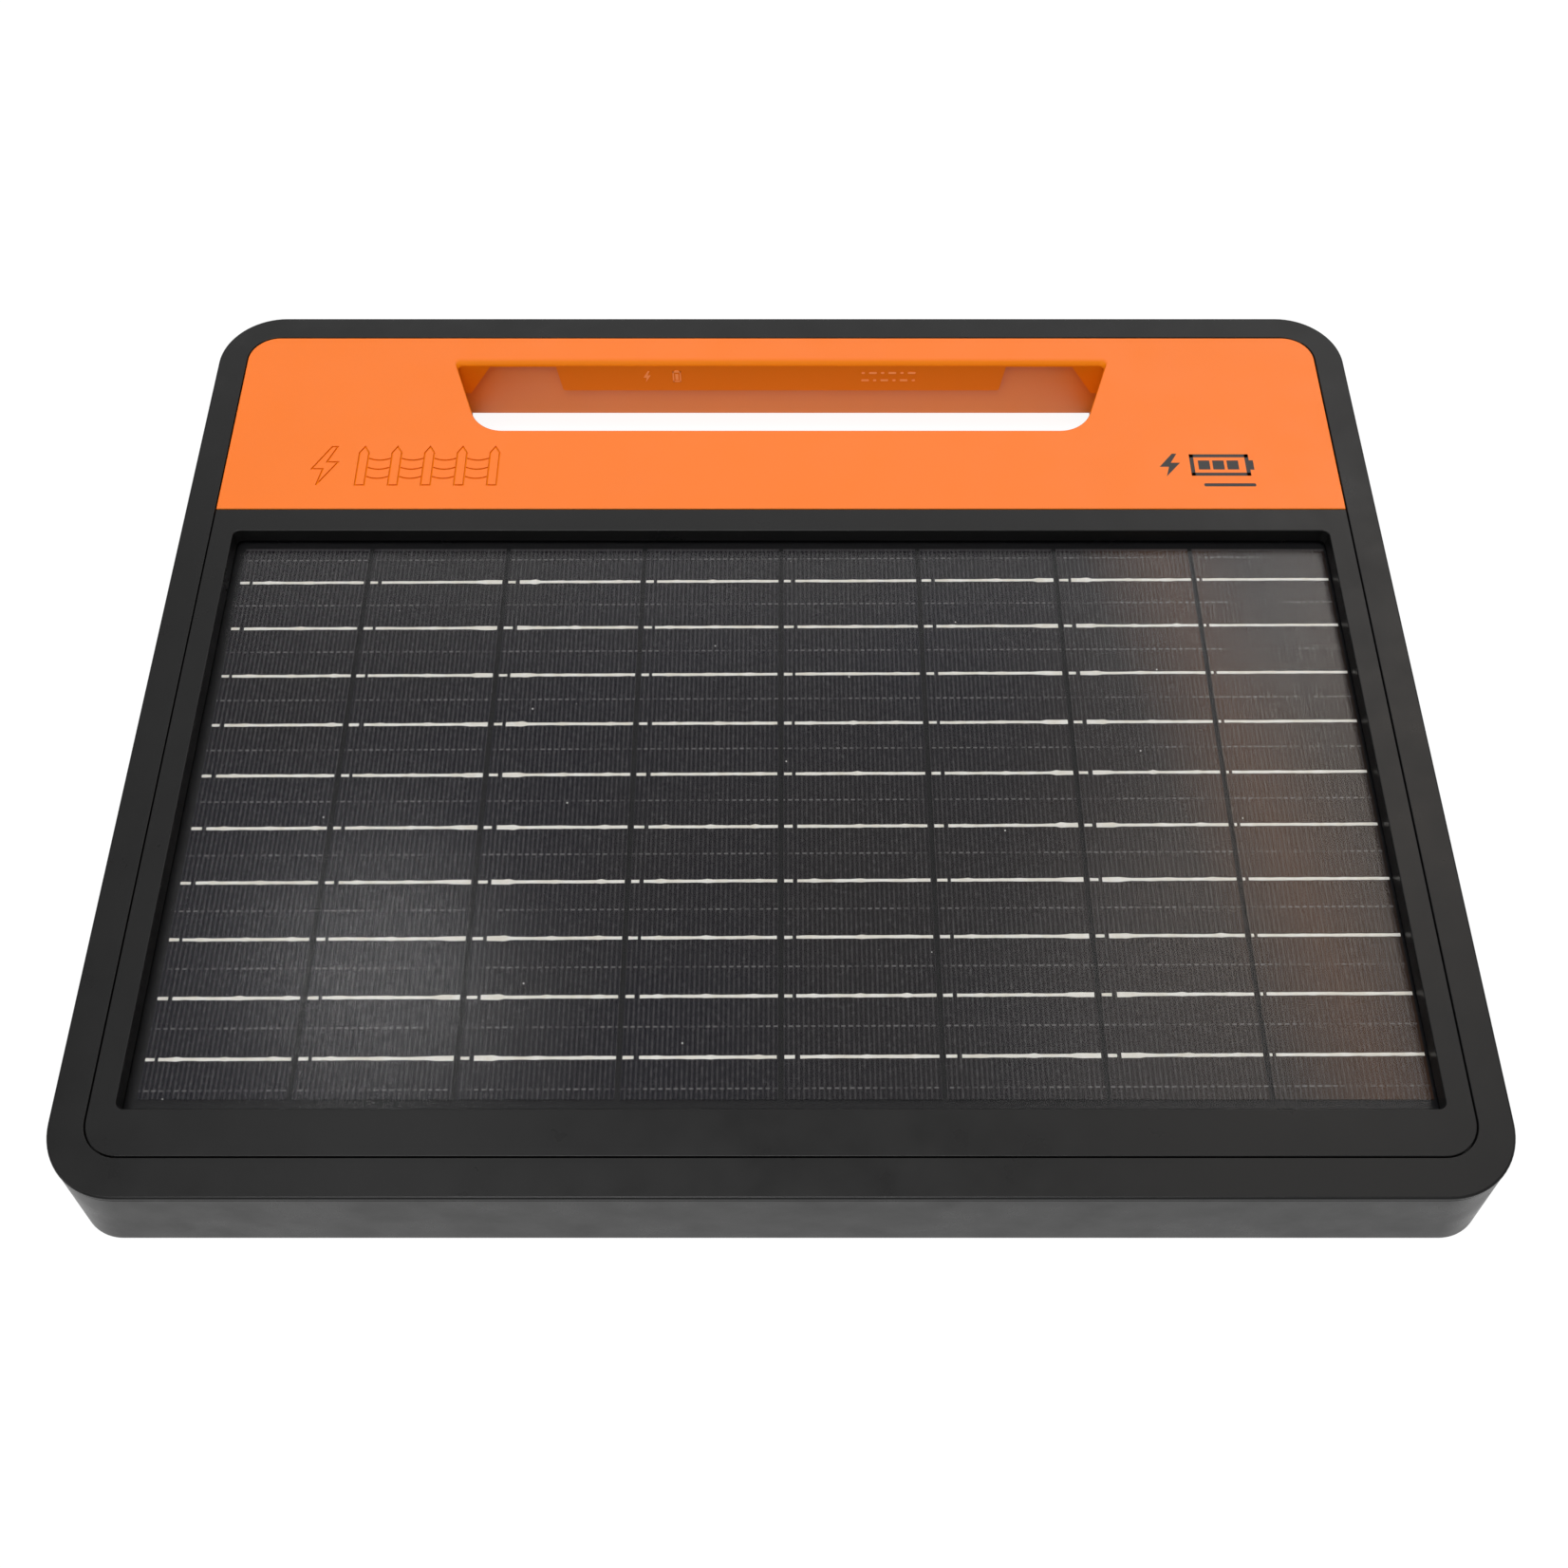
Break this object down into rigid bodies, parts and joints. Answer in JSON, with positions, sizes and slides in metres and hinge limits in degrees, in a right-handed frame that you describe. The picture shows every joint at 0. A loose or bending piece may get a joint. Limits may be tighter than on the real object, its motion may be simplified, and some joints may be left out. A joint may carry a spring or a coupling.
{
  "type": "fence energizer",
  "caption": "Flat solar electric fence energizer with a recessed solar panel, orange carry handle, screw terminals in side bays, a push button and hanging keyholes in its back.",
  "frame": {"origin": "centre of the case's outline, on the plane of its back", "axes": "+Z out of the solar panel's face, +Y towards the carry handle, +X to the right seen from the front"},
  "size_m": [0.375, 0.305, 0.034],
  "materials": {
    "case_black": "fine satin moulded grain",
    "case_orange": "satin moulded plastic",
    "panel_glass": "textured clear front sheet",
    "solar_cell": "dark blue black silicon with fine lines",
    "backsheet": "matt black board",
    "rubber": "matt",
    "battery_sleeve": "shrink sleeve",
    "grey_plastic": "matt",
    "circuit_board": "solder mask",
    "black_component": "moulded epoxy",
    "capacitor": "epoxy dipped",
    "led_lens": "clear diffuse",
    "red_plastic": "satin",
    "green_plastic": "satin",
    "zinc_steel": "zinc plated",
    "ferrite": "matt sintered",
    "copper_winding": "enamelled wire",
    "red_wire": "insulation",
    "black_wire": "insulation",
    "white_wire": "insulation"
  },
  "bodies": {
    "energizer": {"rear_housing": "case_black", "front_rim": "case_black", "panel_bezel": "case_black", "handle_cover": "case_orange", "handle_rear_cover": "case_orange", "panel_glass": "panel_glass", "solar_cell_1": "solar_cell", "solar_cell_2": "solar_cell", "solar_cell_3": "solar_cell", "solar_cell_4": "solar_cell", "solar_cell_5": "solar_cell", "solar_cell_6": "solar_cell", "solar_cell_7": "solar_cell", "solar_cell_8": "solar_cell", "panel_backsheet": "backsheet", "housing_seal": "rubber", "pressure_vent": "rubber", "battery_cell_1": "battery_sleeve", "battery_cell_2": "battery_sleeve", "battery_cell_3": "battery_sleeve", "battery_cell_4": "battery_sleeve", "battery_cradle": "grey_plastic", "panel_junction_box": "grey_plastic", "circuit_board": "circuit_board", "indicator_board": "circuit_board", "switch_board": "circuit_board", "control_chip": "black_component", "power_switch": "black_component", "energy_capacitor": "capacitor", "fence_indicator_led": "led_lens", "battery_indicator_led": "led_lens", "fence_terminal_stud": "zinc_steel", "fence_stud_nut": "zinc_steel", "earth_terminal_stud": "zinc_steel", "earth_stud_nut": "zinc_steel", "button_spring": "zinc_steel", "housing_screw_1": "zinc_steel", "housing_screw_2": "zinc_steel", "housing_screw_3": "zinc_steel", "housing_screw_4": "zinc_steel", "housing_screw_5": "zinc_steel", "housing_screw_6": "zinc_steel", "housing_screw_7": "zinc_steel", "housing_screw_8": "zinc_steel", "pulse_transformer_core": "ferrite", "pulse_transformer_winding": "copper_winding", "battery_lead_red": "red_wire", "panel_lead_red": "red_wire", "battery_lead_black": "black_wire", "panel_lead_black": "black_wire", "switch_cable": "black_wire", "indicator_cable": "black_wire", "fence_output_lead": "white_wire", "earth_output_lead": "white_wire"},
    "fence_clamp": {"fence_clamp_washer": "zinc_steel"},
    "fence_knob": {"fence_terminal_knob": "red_plastic"},
    "earth_clamp": {"earth_clamp_washer": "zinc_steel"},
    "earth_knob": {"earth_terminal_knob": "green_plastic"},
    "power_button": {"power_button": "rubber"}
  },
  "joints": [
    {"name": "fence_clamp_lift", "type": "slide", "parent": "energizer", "child": "fence_clamp", "axis": [-1, 0, 0], "range_m": [-0.002, 0.0005]},
    {"name": "fence_knob_turn", "type": "hinge", "parent": "fence_clamp", "child": "fence_knob", "pos_m": [-0.16, -0.102, 0.01], "axis": [-1, 0, 0], "range_deg": [-720, 180]},
    {"name": "earth_clamp_lift", "type": "slide", "parent": "energizer", "child": "earth_clamp", "axis": [1, 0, 0], "range_m": [-0.002, 0.0005]},
    {"name": "earth_knob_turn", "type": "hinge", "parent": "earth_clamp", "child": "earth_knob", "pos_m": [0.16, -0.102, 0.01], "axis": [1, 0, 0], "range_deg": [-720, 180]},
    {"name": "power_button_press", "type": "slide", "parent": "energizer", "child": "power_button", "axis": [0, 0, 1], "range_m": [0, 0.002], "stiffness_N_per_m": 600, "springref_m": -0.001, "deforming": ["button_spring"]}
  ],
  "couplings": [
    {"joint": "fence_knob_turn", "follows": "fence_clamp_lift", "rad_per_m": 6283.2},
    {"joint": "earth_knob_turn", "follows": "earth_clamp_lift", "rad_per_m": 6283.2}
  ]
}
